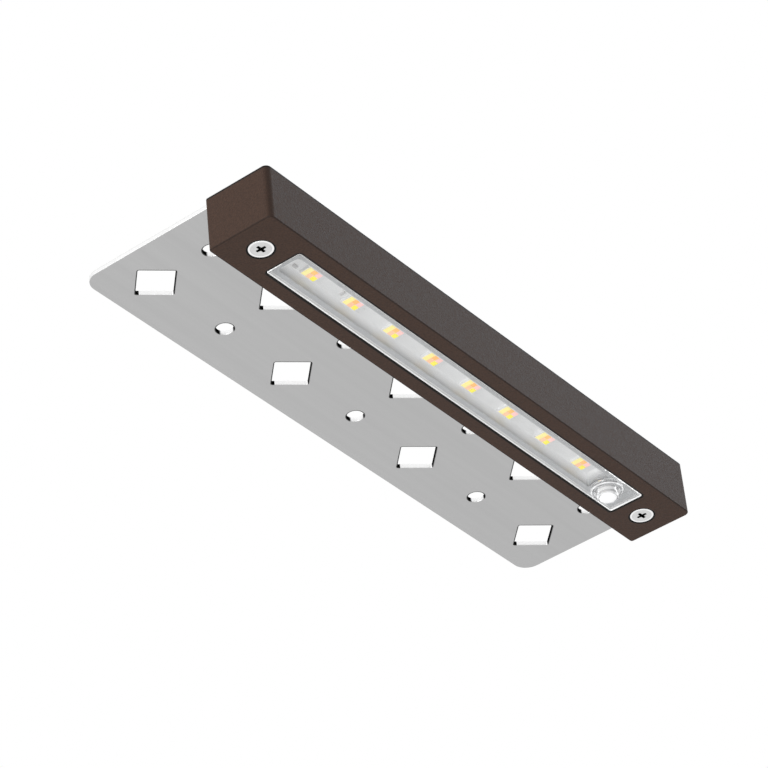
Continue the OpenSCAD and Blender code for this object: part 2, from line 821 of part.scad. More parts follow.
module switch_cover() {
    color(steel) in_switch() translate([0, 0, switch_cover_level]) difference() {
        translate([-switch_size / 2, -switch_size / 2, 0])
            cube([switch_size, switch_size, switch_cover_thickness]);
        translate([0, 0, -past])
            cylinder(r = stem_radius + stem_clearance, h = switch_cover_thickness + 2 * past);
    }
}

// A shallow cap of a thin ball shell, standing on its rim
module switch_dome() {
    ball_radius = (dome_rim_radius * dome_rim_radius + dome_height * dome_height) / (2 * dome_height);
    color(tin) in_switch() intersection() {
        translate([0, 0, switch_floor]) cylinder(r = dome_rim_radius + past, h = dome_height + past);
        translate([0, 0, switch_floor + dome_height - ball_radius]) difference() {
            sphere(r = ball_radius);
            sphere(r = ball_radius - dome_thickness);
        }
    }
}

module switch_stem() {
    color([0.85, 0.85, 0.85]) in_switch() {
        translate([0, 0, stem_flange_level])
            cylinder(r = stem_flange_radius, h = switch_cover_level - stem_flange_level);
        translate([0, 0, stem_flange_level])
            cylinder(r = stem_radius, h = switch_height + stem_length - stem_flange_level);
    }
}

// Carries a shape turned about the button's axis, measured from the lens face
module at_button() {
    in_bar() translate([button_x, 0, 0]) children();
}

module button_collar() {
    color(clear) at_button() rotate_extrude() polygon([
        [collar_bore_radius, frame_level],
        [collar_bore_radius, -collar_stand],
        [collar_radius - tip_bevel, -collar_stand],
        [collar_radius, -collar_stand + tip_bevel],
        [collar_radius, frame_level]
    ]);
}

module button_cap() {
    color(clear) at_button() rotate_extrude() polygon([
        [core_radius, flange_top],
        [core_radius, cap_tip_level],
        [cap_tip_radius - tip_bevel, cap_tip_level],
        [cap_tip_radius, cap_tip_level + tip_bevel],
        [cap_tip_radius, cap_step_level - cap_step_height],
        [cap_radius, cap_step_level],
        [cap_radius, ring_level - groove_half_width],
        [ring_centre_radius - ring_section, ring_level - groove_half_width],
        [ring_centre_radius - ring_section, ring_level + groove_half_width],
        [cap_radius, ring_level + groove_half_width],
        [cap_radius, frame_level],
        [flange_radius, frame_level],
        [flange_radius, flange_top]
    ]);
}

module button_core() {
    color([0.97, 0.97, 0.97]) at_button() rotate_extrude() polygon([
        [0, -button_stand],
        [core_radius - tip_bevel, -button_stand],
        [core_radius, -button_stand + tip_bevel],
        [core_radius, flange_top],
        [post_radius, flange_top],
        [post_radius, stem_tip_level],
        [0, stem_tip_level]
    ]);
}

module button_seal() {
    color(rubber) at_button() translate([0, 0, ring_level]) rotate_extrude()
        translate([ring_centre_radius, 0]) circle(ring_section);
}

housing();
mounting_plate();
clinch_nuts();
fixing_screws();
lens();
lens_seal();
reflector_frame();
led_board();
thermal_pad();
led_packages();
led_board_chips();
tiles_pale_yellow();
tiles_orange();
tiles_peach();
tiles_pink();
tiles_bright_yellow();
driver_board();
driver_chip();
power_inductor();
capacitors();
rectifier();
driver_resistors();
input_terminal();
link_pins();
driver_screws();
top_cover();
cover_gasket();
cover_screws();
gland_body();
gland_seal();
gland_nut();
switch_base();
switch_cover();
switch_dome();
switch_stem();
button_collar();
button_cap();
button_core();
button_seal();
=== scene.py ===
"""Step light: a slim bar lamp on a pierced mounting plate, seen from below and from its left end.

The camera, the lamps and the floor are in metres. The pieces are in millimetres, and their
heights are levels above the bar's lower face, with the plate's top face at 17.2; shape()
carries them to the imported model's frame, whose zero is the plate's top face.
"""

import bmesh
import bpy
import numpy as np
from mathutils import Matrix, Vector
from mathutils.geometry import delaunay_2d_cdt


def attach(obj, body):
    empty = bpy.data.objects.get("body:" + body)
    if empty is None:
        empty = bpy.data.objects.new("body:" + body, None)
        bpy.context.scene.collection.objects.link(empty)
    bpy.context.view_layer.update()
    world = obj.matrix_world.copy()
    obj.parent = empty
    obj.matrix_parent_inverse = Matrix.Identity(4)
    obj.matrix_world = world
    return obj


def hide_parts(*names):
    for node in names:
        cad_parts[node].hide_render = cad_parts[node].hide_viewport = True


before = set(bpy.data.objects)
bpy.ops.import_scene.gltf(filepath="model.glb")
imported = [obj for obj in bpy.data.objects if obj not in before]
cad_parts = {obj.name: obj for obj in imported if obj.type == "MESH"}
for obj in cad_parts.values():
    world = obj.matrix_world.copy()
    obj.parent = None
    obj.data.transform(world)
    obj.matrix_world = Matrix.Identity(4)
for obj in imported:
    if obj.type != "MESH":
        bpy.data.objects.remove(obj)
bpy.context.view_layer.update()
scene = bpy.context.scene


# Camera. The view is from below the bar's left end, along a long lens; place and turn were
# worked out from the edges and holes in the photograph.

eye = Vector((-0.6090385, -0.3950667, -0.541958))
right = Vector((0.61600837, -0.7829672, -0.08657976))
up = Vector((-0.42176164, -0.42064589, 0.80322734))
back = Vector((-0.66532007, -0.45827875, -0.58934692))
camera = bpy.data.objects.new("camera", bpy.data.cameras.new("camera"))
camera.matrix_world = Matrix.Translation(eye) @ Matrix((right, up, back)).transposed().to_4x4()
camera.data.sensor_width = 36
camera.data.lens = 164.6183
camera.data.clip_start = 0.05
camera.data.clip_end = 50
scene.collection.objects.link(camera)
scene.camera = camera
scene.view_settings.view_transform = "Standard"


# Studio. A white room: the background is white to the eye and in metal and glass, and softer
# where it lights the object. Large soft lamps stand to the left, below and high in front; the
# lower one lights the face that looks down, and leaves the front to the high one's sheen.

def add(tree, kind, **inputs):
    """A new node in the tree with its inputs set or linked; a name's underscores are spaces."""
    node = tree.nodes.new(kind)
    for name, value in inputs.items():
        socket = node.inputs[int(name[1:]) if name[1:].isdigit() else name.replace("_", " ")]
        if isinstance(value, bpy.types.NodeSocket):
            tree.links.new(value, socket)
        else:
            socket.default_value = value
    return node


def seen_or_mirrored(tree, seen):
    """1 for what metal and glass show, and, with seen, for what the camera shows too."""
    path = add(tree, "ShaderNodeLightPath")
    either = add(tree, "ShaderNodeMath", i0=path.outputs["Is Glossy Ray"],
                 i1=path.outputs["Is Transmission Ray"])
    either.operation = "MAXIMUM"
    if seen:
        either = add(tree, "ShaderNodeMath", i0=path.outputs["Is Camera Ray"],
                     i1=either.outputs[0])
        either.operation = "MAXIMUM"
    return either.outputs[0]


world = bpy.data.worlds.new("white_room")
world.use_nodes = True
tree = world.node_tree
tree.nodes.clear()
light = add(tree, "ShaderNodeBackground", Color=(1.0, 1.0, 1.0, 1), Strength=0.42)
backdrop = add(tree, "ShaderNodeBackground", Color=(1.0, 1.0, 1.0, 1), Strength=1.0)
both = add(tree, "ShaderNodeMixShader", i0=seen_or_mirrored(tree, True),
           i1=light.outputs[0], i2=backdrop.outputs[0])
add(tree, "ShaderNodeOutputWorld", Surface=both.outputs[0])
scene.world = world


def soft_lamp(name, place, aim, size, power, colour=(1, 1, 1)):
    """A square area lamp at place that faces aim."""
    lamp = bpy.data.lights.new(name, "AREA")
    lamp.shape = "SQUARE"
    lamp.size = size
    lamp.energy = power
    lamp.color = colour
    holder = bpy.data.objects.new(name, lamp)
    turn = (Vector(aim) - Vector(place)).to_track_quat("-Z", "Y")
    holder.matrix_world = Matrix.Translation(place) @ turn.to_matrix().to_4x4()
    scene.collection.objects.link(holder)


soft_lamp("left_lamp", (-1.30, 0.05, -0.20), (0, 0, 0), 0.9, 13.0)
soft_lamp("low_lamp", (-0.05, 0.0, -0.9), (0, 0, 0), 0.8, 2.05)
soft_lamp("high_lamp", (0.95, -0.62, 0.83), (0, 0, 0), 0.9, 3.4, (0.78, 0.90, 1.0))

corners = [(-5, -5, -1), (5, -5, -1), (5, 5, -1), (-5, 5, -1)]
floor_mesh = bpy.data.meshes.new("floor")
floor_mesh.from_pydata(corners, [], [(0, 1, 2, 3)])
floor = bpy.data.objects.new("floor", floor_mesh)
scene.collection.objects.link(floor)
pale = bpy.data.materials.new("pale_floor")
pale.use_nodes = True
tree = pale.node_tree
tree.nodes.clear()
matt = add(tree, "ShaderNodeBsdfDiffuse", Color=(0.86, 0.86, 0.86, 1))
white = add(tree, "ShaderNodeEmission", Color=(1, 1, 1, 1), Strength=1.0)
share = add(tree, "ShaderNodeMath", i0=add(tree, "ShaderNodeLightPath").outputs["Is Camera Ray"],
            i1=0.5)
share.operation = "MULTIPLY"
share = add(tree, "ShaderNodeMath", i0=share.outputs[0], i1=seen_or_mirrored(tree, False))
share.operation = "MAXIMUM"
both = add(tree, "ShaderNodeMixShader", i0=share.outputs[0], i1=matt.outputs[0],
           i2=white.outputs[0])
add(tree, "ShaderNodeOutputMaterial", Surface=both.outputs[0])
floor_mesh.materials.append(pale)


# Bar. One aluminium casting with a lamp channel below and a driver compartment above, joined
# by a shelf. It is bead-blasted and powder coated in a fine-textured, matt dark bronze, and
# carries painted shade along its edges, down its two front corners and in the two screw passages.

channel_level = 6.1  # the channel's ceiling, which is the shelf's lower side
shelf_level = 7.8  # the shelf's upper side
cover_level = 14.4  # the ledge that the gasket and cover lie on
bar_level = 16  # the bar's top, on which the plate lies
plate_level = 17.2  # the plate's top
screw_places = [(-80.5, 0.4), (80.5, 0.4)]


def rounded(x0, x1, y0, y1, front, rear, steps=10):
    """Outline of a rectangle with round corners, as points and outward normals.

    Each corner is centre + radius * (cos a, sin a) for a over its quarter turn; front is the
    radius of the two corners at y0 and rear that of the two at y1.
    """
    quarter = np.linspace(0, np.pi / 2, steps + 1)
    centres = np.array([(x1 - rear, y1 - rear), (x0 + rear, y1 - rear),
                        (x0 + front, y0 + front), (x1 - front, y0 + front)])
    radii = np.array([rear, rear, front, front])
    angles = np.arange(4)[:, None] * np.pi / 2 + quarter
    normals = np.stack([np.cos(angles), np.sin(angles)], axis=2)
    points = centres[:, None] + radii[:, None, None] * normals
    return points.reshape(-1, 2), normals.reshape(-1, 2)


def round_hole(x, y, steps=72):
    """Outline of no width at (x, y), whose normals go once round, so that out is a radius."""
    angles = np.arange(steps) * 2 * np.pi / steps
    normals = np.stack([np.cos(angles), np.sin(angles)], axis=1)
    return np.zeros((steps, 2)) + (x, y), normals


def eased(profile, radius, steps=4):
    """Profile with each inner corner rounded: a parabola between the points radius before and
    after the corner, (1-t)^2 a + 2t(1-t) corner + t^2 b, with radius at most 0.45 of a side."""
    profile = np.asarray(profile, float)
    side = np.diff(profile, axis=0)
    length = np.linalg.norm(side, axis=1)
    unit = side / length[:, None]
    reach = np.minimum(radius, 0.45 * np.minimum(length[:-1], length[1:]))[:, None, None]
    t = np.linspace(0, 1, steps + 1)[None, :, None]
    corner = profile[1:-1, None]
    before, after = corner - reach * unit[:-1, None], corner + reach * unit[1:, None]
    arcs = (1 - t) ** 2 * before + 2 * t * (1 - t) * corner + t ** 2 * after
    return np.vstack([profile[:1], arcs.reshape(-1, 2), profile[-1:]])


def swept(outline, profile):
    """Grid of points: profile point (out, level) stands at outline point + out * normal."""
    points, normals = outline
    profile = np.asarray(profile, float)
    plan = points[None] + profile[:, :1, None] * normals[None]
    level = np.broadcast_to(profile[:, 1:, None], plan.shape[:2] + (1,))
    return np.concatenate([plan, level], axis=2)


def band(grid, tone=0.0):
    """The grid's points, its quads from row to row and round each row, and each quad's tone,
    which is one number or an array that spreads over (rows - 1, columns)."""
    rows, columns = grid.shape[:2]
    index = np.arange(rows * columns).reshape(rows, columns)
    ahead = np.roll(index, -1, axis=1)
    quads = np.stack([index[:-1], ahead[:-1], ahead[1:], index[1:]], axis=-1).reshape(-1, 4)
    tones = np.broadcast_to(np.asarray(tone, float), (rows - 1, columns)).ravel()
    return grid.reshape(-1, 3), quads.tolist(), tones


def flat(level, *rings):
    """Flat face between the first ring and the others, which are its holes."""
    plan = np.vstack([ring[:, :2] for ring in rings])
    ends = np.cumsum([len(ring) for ring in rings])
    loops = [list(range(end - len(ring), end)) for ring, end in zip(rings, ends)]
    points, _, faces, _, _, _ = delaunay_2d_cdt([Vector(p) for p in plan], [], loops, 5, 1e-6)
    points = np.array([tuple(p) for p in points])
    points = np.column_stack([points, np.full(len(points), float(level))])
    return points, faces, np.zeros(len(faces))


def shape(name, parts, material, body, replaced, smooth=40):
    """One piece from (points, faces, tones) parts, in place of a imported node: merged where they
    meet, normals outward, smooth up to the given angle, in metres and riding on its body."""
    mesh = bpy.data.meshes.new(name)
    starts = np.cumsum([0] + [len(points) for points, _, _ in parts])
    faces = [[i + int(start) for i in face] for (_, found, _), start in zip(parts, starts)
             for face in found]
    points = (np.vstack([points for points, _, _ in parts]) - (0, 0, plate_level)) / 1000
    mesh.from_pydata(points.tolist(), [], faces)
    tones = mesh.attributes.new("tone", "FLOAT", "FACE")
    tones.data.foreach_set("value", np.concatenate([tones for _, _, tones in parts]))
    work = bmesh.new()
    work.from_mesh(mesh)
    bmesh.ops.remove_doubles(work, verts=work.verts, dist=2e-6)
    bmesh.ops.dissolve_degenerate(work, dist=1e-7, edges=work.edges)
    bmesh.ops.recalc_face_normals(work, faces=work.faces)
    work.to_mesh(mesh)
    work.free()
    mesh.shade_smooth()
    mesh.set_sharp_from_angle(angle=np.radians(smooth))
    mesh.materials.append(material)
    piece = bpy.data.objects.new(name, mesh)
    scene.collection.objects.link(piece)
    even = piece.modifiers.new("even_shading", "WEIGHTED_NORMAL")
    even.keep_sharp = True
    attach(piece, body)
    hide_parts(replaced)


def new_group(name, inputs, outputs):
    """An empty shader node group with float, vector or colour sockets, and its two ends."""
    kinds = {"value": "NodeSocketFloat", "vector": "NodeSocketVector", "colour": "NodeSocketColor"}
    group = bpy.data.node_groups.new(name, "ShaderNodeTree")
    for socket, kind in inputs.items():
        group.interface.new_socket(socket, in_out="INPUT", socket_type=kinds[kind])
    for socket, kind in outputs.items():
        group.interface.new_socket(socket, in_out="OUTPUT", socket_type=kinds[kind])
    inside = group.nodes.new("NodeGroupInput").outputs
    return group, inside, group.nodes.new("NodeGroupOutput").inputs


# surface_grain: noise on Object coordinates, finer or coarser along each axis as Cells per
# metre says. Colour runs from Dark to Light with it, and by the mesh's own tone, which carries
# painted light and shade, to Toned at 1 and to Shaded at -1. Mask is the noise spread over 0
# to 1, Tone is the mesh's own, and Normal is the noise's relief of that Depth.
surface_grain, given, wanted = new_group(
    "surface_grain",
    {"Cells": "vector", "Roughness": "value", "Depth": "value",
     "Dark": "colour", "Light": "colour", "Toned": "colour", "Shaded": "colour"},
    {"Colour": "colour", "Mask": "value", "Tone": "value", "Normal": "vector"})
place = add(surface_grain, "ShaderNodeTexCoord").outputs["Object"]
stretch = add(surface_grain, "ShaderNodeMapping", Vector=place, Scale=given["Cells"])
noise = add(surface_grain, "ShaderNodeTexNoise", Vector=stretch.outputs[0], Scale=1.0, Detail=3.0,
            Roughness=given["Roughness"])
spread = add(surface_grain, "ShaderNodeMapRange", Value=noise.outputs[0])
spread.inputs["From Min"].default_value = 0.3
spread.inputs["From Max"].default_value = 0.7
mix = add(surface_grain, "ShaderNodeMix", i0=spread.outputs[0], i6=given["Dark"], i7=given["Light"])
mix.data_type = "RGBA"
tone = add(surface_grain, "ShaderNodeAttribute")
tone.attribute_name = "tone"
toned = add(surface_grain, "ShaderNodeMix", i0=tone.outputs["Fac"], i6=mix.outputs[2],
            i7=given["Toned"])
toned.data_type = "RGBA"
minus = add(surface_grain, "ShaderNodeMath", i0=tone.outputs["Fac"], i1=-1.0)
minus.operation = "MULTIPLY"
shaded = add(surface_grain, "ShaderNodeMix", i0=minus.outputs[0], i6=toned.outputs[2],
             i7=given["Shaded"])
shaded.data_type = "RGBA"
relief = add(surface_grain, "ShaderNodeBump", Height=noise.outputs[0], Distance=given["Depth"])
surface_grain.links.new(shaded.outputs[2], wanted["Colour"])
surface_grain.links.new(spread.outputs[0], wanted["Mask"])
surface_grain.links.new(tone.outputs["Fac"], wanted["Tone"])
surface_grain.links.new(relief.outputs[0], wanted["Normal"])


def finish(name, cells, depth, dark, light, rough, rough_spread=0.0, harsh=0.5, toned=None,
           shaded=None, by_tone=None, by_shade=None, **plain):
    """A material whose colour, roughness and relief come from surface_grain, or whose colour is
    plain where dark and light are one. toned and shaded are its colours where the mesh's tone
    is 1 and -1, by_tone and by_shade give other sockets' values at tones 0 and 1 and at -1 and
    0, and plain values go straight to the shader."""
    material = bpy.data.materials.new(name)
    material.use_nodes = True
    tree = material.node_tree
    shader = tree.nodes["Principled BSDF"]
    grain = tree.nodes.new("ShaderNodeGroup")
    grain.node_tree = surface_grain
    values = {"Cells": cells, "Roughness": harsh, "Depth": depth,
              "Dark": (*dark, 1), "Light": (*light, 1),
              "Toned": (*(toned or light), 1), "Shaded": (*(shaded or dark), 1)}
    for socket, value in values.items():
        grain.inputs[socket].default_value = value
    if dark == light and not (toned or shaded):
        shader.inputs["Base Color"].default_value = (*dark, 1)
    else:
        tree.links.new(grain.outputs["Colour"], shader.inputs["Base Color"])
    tree.links.new(grain.outputs["Normal"], shader.inputs["Normal"])
    if rough_spread:
        span = add(tree, "ShaderNodeMapRange", Value=grain.outputs["Mask"])
        span.inputs["To Min"].default_value = rough - rough_spread
        span.inputs["To Max"].default_value = rough + rough_spread
        tree.links.new(span.outputs[0], shader.inputs["Roughness"])
    else:
        shader.inputs["Roughness"].default_value = rough
    for socket, value in plain.items():
        shader.inputs[socket.replace("_", " ")].default_value = value
    for start, table in ((0, by_tone or {}), (-1, by_shade or {})):
        for socket, (before, after) in table.items():
            span = add(tree, "ShaderNodeMapRange", Value=grain.outputs["Tone"])
            span.inputs["From Min"].default_value = start
            span.inputs["From Max"].default_value = start + 1
            span.inputs["To Min"].default_value = before
            span.inputs["To Max"].default_value = after
            tree.links.new(span.outputs[0], shader.inputs[socket.replace("_", " ")])
    return material


# Its toned colour, a near-black, is the painted shade on the bar's edges, front corners, channel
# mouth and screw passages.
powder_coat = finish("bronze_powder_coat", (2300, 2300, 2300), 0.00006,
                     (0.034, 0.0165, 0.0098), (0.060, 0.032, 0.0212), 0.55, 0.06,
                     toned=(0.003, 0.0015, 0.001), Specular_IOR_Level=0.20)

bar_edge = 0.3
quarter = np.linspace(0, np.pi / 2, 6)
sine, cosine = bar_edge * np.sin(quarter), bar_edge * np.cos(quarter)
lower_edge = np.column_stack([sine - bar_edge, bar_edge - cosine])
upper_edge = np.column_stack([cosine - bar_edge, bar_level - bar_edge + sine])
outside = swept(rounded(-89, 89, -9.75, 9.75, 1.6, 0.8),
                np.vstack([lower_edge, [(0, 15.3)], upper_edge]))
# Painted shade along the bar's edges and down its two front corners: each row's and each
# column's tone, and the stronger of the two. The columns are the four corners' eleven points
# each, from the back right one on; column 10 is the long back side.
by_row = np.repeat([0.5, 0.0, 0.9, 1.0], [5, 1, 1, 5])
by_column = np.zeros(44)
by_column[22:32] = by_column[33:43] = [0.1, 0.2, 0.4, 0.6, 0.8, 0.9, 0.8, 0.6, 0.4, 0.2]
painted_edge_shade = np.maximum(by_row[:, None], 0.5 * by_column)
painted_edge_shade[:5, 10] = 1
channel = swept(rounded(-73.05, 73.05, -5.6, 5.6, 1.05, 1.05),
                eased([(0.3, 0), (0, 0), (0, channel_level)], 0.12))
recess = swept(rounded(-75.55, 75.55, -8.05, 8.05, 1.5, 1.5),
               eased([(0.3, bar_level), (0, bar_level), (0, cover_level)], 0.1))
bay = swept(rounded(-68.95, 68.95, -6.75, 6.75, 1.5, 1.5), [(0, cover_level), (0, shelf_level)])
through_shelf = [(0, channel_level), (0, shelf_level)]
switch_hole = swept(rounded(60.2, 66.8, -3.3, 3.3, 0.2, 0.2), through_shelf)
pin_slot = swept(rounded(-41.52, -39.42, -5.05, 5.05, 0.2, 0.2), through_shelf)
# Screw passage, from the face up: head's countersink, shank's bore, and the clinch nut's bore.
passage = eased([(3.7, 0), (3.5, 0), (3.5, 0.14), (2.05, 2.0), (2.05, 13.9), (3.85, 13.9),
                 (3.85, bar_level), (4.15, bar_level)], 0.06)
passages = [swept(round_hole(*place), passage) for place in screw_places]
tapped = [swept(round_hole(x, y), [(1.0, cover_level), (1.0, 12.0), (0, 12.0)])
          for x in (-72.75, 72.75) for y in (-4.6, 4.6)]
boss = [(2.1, shelf_level), (2.1, 9.4), (1.0, 9.4), (1.0, shelf_level), (0, shelf_level)]
bosses = [swept(round_hole(x, 0), boss) for x in (-26.25, 44.85)]
walls = [recess, bay, switch_hole, pin_slot, *tapped, *bosses]
# The channel's mouth carries painted shade, and the channel takes the coat's own colour from
# there up.
channel_mouth_shade = np.r_[0.8, np.ones(4), 0][:, None]
shape("bar_casting", [
    band(outside, painted_edge_shade), band(channel, channel_mouth_shade), *[band(wall) for wall in walls],
    # The screw passages carry painted shade.
    *[band(hole, 1.0) for hole in passages],
    flat(0, outside[0], channel[0], *[hole[0] for hole in passages]),
    flat(channel_level, channel[-1], switch_hole[0], pin_slot[0]),
    flat(shelf_level, bay[-1], switch_hole[-1], pin_slot[-1], *[wall[0] for wall in bosses]),
    flat(cover_level, recess[-1], bay[0], *[hole[0] for hole in tapped]),
    flat(bar_level, outside[-1], recess[0], *[hole[-1] for hole in passages]),
], powder_coat, "fixture", "housing")


# Mounting plate. A steel sheet, punched with two rows of diamonds and round nail holes by
# turns and with rounded corners, and left with the dull satin of the rolled sheet. Its cut
# edges carry a painted highlight on one side of each hole and painted shade on the rest.

def turned(outline, x, y, angle):
    """The outline turned by angle degrees about 0 and carried to (x, y)."""
    c, s = np.cos(np.radians(angle)), np.sin(np.radians(angle))
    spin = np.array([(c, s), (-s, c)])
    points, normals = outline
    return points @ spin + (x, y), normals @ spin


def sheet_edge(width):
    """Profile through the sheet, from its lower to its upper face, with both edges broken."""
    return eased([(width, bar_level), (0, bar_level), (0, plate_level), (width, plate_level)],
                 0.1, 3)


# Its toned colour is a painted highlight, and its shaded colour painted shade, where the steel
# stops being metal.
sheet_steel = finish("plate_steel", (10, 420, 420), 0.000002,
                     (0.455, 0.455, 0.455), (0.48, 0.48, 0.48), 0.38, 0.02, harsh=0.6,
                     toned=(0.93, 0.93, 0.93), shaded=(0.004, 0.004, 0.004),
                     by_shade={"Metallic": (0.0, 1.0)}, Specular_IOR_Level=0.0)


def painted_cut_light(outline):
    """Tones of a cut wall: a painted highlight on the side of each hole towards +X and +Y,
    painted shade on the rest, and less of either over its two edges."""
    angle = np.degrees(np.arctan2(outline[1][:, 1], outline[1][:, 0]))
    lit_side = np.clip((52 - abs(angle - 20)) / 10, 0, 1)
    shade_rows = np.array([0.8, 1, 1, 1, 1, 1, 1, 0.7, 0.3])
    highlight_rows = np.array([0, 0.3, 0.7, 1, 1, 1, 0.5, 0.2, 0])
    return highlight_rows[:, None] * lit_side - shade_rows[:, None] * (1 - lit_side)


def punched(outline, out=0.0):
    """The wall of one hole, as its grid and its tones."""
    return swept(outline, sheet_edge(0.3) + (out, 0)), painted_cut_light(outline)


rim = swept(rounded(-85.9, 100.5, -4.1, 52.55, 4.5, 4.5, 16), sheet_edge(-0.3))
# Painted highlight over the rim's lower edge and wall, and a thin line of painted shade at its
# upper edge.
rim_painted_light = np.array([0, 0.2, 0.5, 0.9, 0.9, 0.2, -0.4, -0.6, 0])[:, None]
back_row, front_row = 39.75, 21.35
columns, first_x, span = 7, -72.7, 160
half, nail_radius, nut_radius = 4.8, 2.35, 2.6
# One more point near the diamond's corner towards +X, and the columns round that corner take
# one tone, so that the painted shade shows there as one dark spot.
points, normals = rounded(-half, half, -half, half, 0.4, 0.4, 4)
square = np.vstack([points, (half, 3.9)]), np.vstack([normals, (1, 0)])
holes = []
for i in range(columns):
    x = first_x + i * span / (columns - 1)
    diamond, nail = (back_row, front_row) if i % 2 == 0 else (front_row, back_row)
    wall, tones = punched(turned(square, x, diamond, 45))
    tones[:, [-1, 0, 1]] = tones[:, [2]]
    holes += [(wall, tones), punched(round_hole(x, nail), nail_radius)]
holes += [punched(round_hole(*place), nut_radius) for place in screw_places]
shape("plate_sheet", [
    band(rim, rim_painted_light), *[band(wall, tones) for wall, tones in holes],
    flat(bar_level, rim[0], *[wall[0] for wall, _ in holes]),
    flat(plate_level, rim[-1], *[wall[-1] for wall, _ in holes]),
], sheet_steel, "fixture", "mounting_plate")


# Fixing screws. Two number 6 flat-head screws with a cross recess, in satin stainless steel,
# which go up through the bar into the clinch nuts of the plate. The recess carries painted
# shade, and the head's rim a painted highlight.

# Its toned colour is a painted highlight, and its shaded colour painted shade.
screw_steel = finish("screw_steel", (900, 900, 900), 0.000004,
                     (0.63, 0.63, 0.63), (0.70, 0.70, 0.70), 0.25, 0.05,
                     toned=(0.92, 0.92, 0.92), shaded=(0.006, 0.006, 0.006), Metallic=1.0)
radius = np.concatenate([np.linspace(0, 1.6, 36), [2.1, 2.7, 3.05]])
angle = np.arange(240) * 2 * np.pi / 240
x, y = radius[:, None] * np.cos(angle), radius[:, None] * np.sin(angle)
# The recess: two crossed arms that narrow outwards, with sloping sides and ends. Its floor is
# recess_depth * (1 - 0.4 (r / arm_length)^2) deep, at r from the axis.
head_face, recess_depth, arm_length, slope = 0.1, 1.3, 1.4, 0.08
arm = 0.46 - slope * np.maximum(abs(x), abs(y)) / arm_length
side = np.clip((arm - np.minimum(abs(x), abs(y))) / slope, 0, 1)
end = np.clip((arm_length + 0.02 - radius[:, None]) / 0.1, 0, 1)
depth = recess_depth * (1 - 0.4 * (radius[:, None] / arm_length) ** 2) * side * end
top = np.stack([x, y, head_face + depth], axis=2)
below_head = eased([(3.05, head_face), (3.2, head_face), (3.2, 0.25), (1.75, 2.0), (1.75, 16.2),
                    (1.45, 16.5), (0, 16.5)], 0.08)
screw = np.concatenate([top, swept(round_hole(0, 0, len(angle)), below_head)[1:]])
# Tone -1 paints shade into the recess, and 1 paints a highlight on the head's rim.
recess_shade_rim_highlight = np.zeros(screw.shape[:2])
recess_shade_rim_highlight[:len(radius)] = -1.0 * (depth > 0.05)
recess_shade_rim_highlight[len(radius) - 2:len(radius) + 3] = 1
shape("flat_head_screws", [band(screw + (*place, 0), recess_shade_rim_highlight[:-1]) for place in screw_places],
      screw_steel, "fixture", "fixing_screws", smooth=30)


# Lens. A clear moulded polycarbonate strip, bedded in sealant, whose bevel and sides carry a
# painted white glow; the button's collar comes through a hole near its right end.

def see_through(name, colour, ior, rough, painted_glow):
    """Clear plastic: a glass-like shader whose edges carry a painted white glow as their tone
    says, with plain transparency where light passes to and from what lies behind it."""
    material = finish(name, (60, 60, 60), 0.0000005, colour, colour, rough,
                      by_tone={"Emission_Color": (0.0, 1.0)}, IOR=ior, Transmission_Weight=1.0,
                      Emission_Strength=painted_glow)
    tree = material.node_tree
    path = add(tree, "ShaderNodeLightPath").outputs
    passing = add(tree, "ShaderNodeMath", i0=path["Is Shadow Ray"], i1=path["Is Diffuse Ray"])
    passing.operation = "MAXIMUM"
    gap = add(tree, "ShaderNodeBsdfTransparent", Color=(0.96, 0.96, 0.96, 1))
    both = add(tree, "ShaderNodeMixShader", i0=passing.outputs[0],
               i1=tree.nodes["Principled BSDF"].outputs[0], i2=gap.outputs[0])
    tree.links.new(both.outputs[0], tree.nodes["Material Output"].inputs["Surface"])
    return material


button_x, lens_back = 63.5, 1.68
clear_plastic = see_through("clear_lens", (0.97, 0.975, 0.975), 1.49, 0.02, 0.52)
lens_side = eased([(-0.6, 0), (-0.28, 0), (0, 0.3), (0, lens_back), (-0.6, lens_back)], 0.12)
window = swept(rounded(-72.79, 72.79, -5.34, 5.34, 0.8, 0.8), lens_side)
collar_hole = swept(round_hole(button_x, 0, 96),
                    eased([(4.7, 0), (4.4, 0), (4.4, lens_back), (4.7, lens_back)], 0.1))
# The lens's bevel and sides carry a painted white glow.
painted_rim_glow = np.repeat([0.0, 1.0, 0.0], [4, len(lens_side) - 8, 3])[:, None]
shape("lens_window", [
    band(window, painted_rim_glow), band(collar_hole),
    flat(0, window[0], collar_hole[0]), flat(lens_back, window[-1], collar_hole[-1]),
], clear_plastic, "fixture", "lens", smooth=50)


# Sealant. A thin black bead that fills the gap between lens and bar, wiped hollow.

sealant = finish("black_sealant", (700, 700, 700), 0.00001,
                 (0.010, 0.009, 0.008), (0.018, 0.015, 0.013), 0.6, 0.05, Specular_IOR_Level=0.15)
t = np.linspace(-1, 1, 9)
bead = np.column_stack([0.125 + 0.125 * t, 0.06 + 0.08 * (1 - t ** 2)])
bead = np.vstack([bead, [(0.25, 1.7), (0, 1.7), bead[0]]])
shape("sealant_bead", [band(swept(rounded(-72.8, 72.8, -5.35, 5.35, 0.8, 0.8), bead))],
      sealant, "fixture", "lens_seal")


# Reflector frame. A light grey moulding between the lens and the strip board. Its window has
# coved walls that throw the light out, whitened towards the board by painted light, and its outer
# border carries painted light on the ledge where the lens lies on it. It rings the button at the
# right.

# Its toned colour is painted light, and its shaded colour painted shade.
reflector_plastic = finish("reflector_plastic", (400, 400, 400), 0.000004,
                           (0.50, 0.51, 0.52), (0.54, 0.55, 0.56), 0.4, 0.04,
                           toned=(0.95, 0.95, 0.95), shaded=(0.10, 0.10, 0.10))
lip_level, board_level = 1.72, 4.68


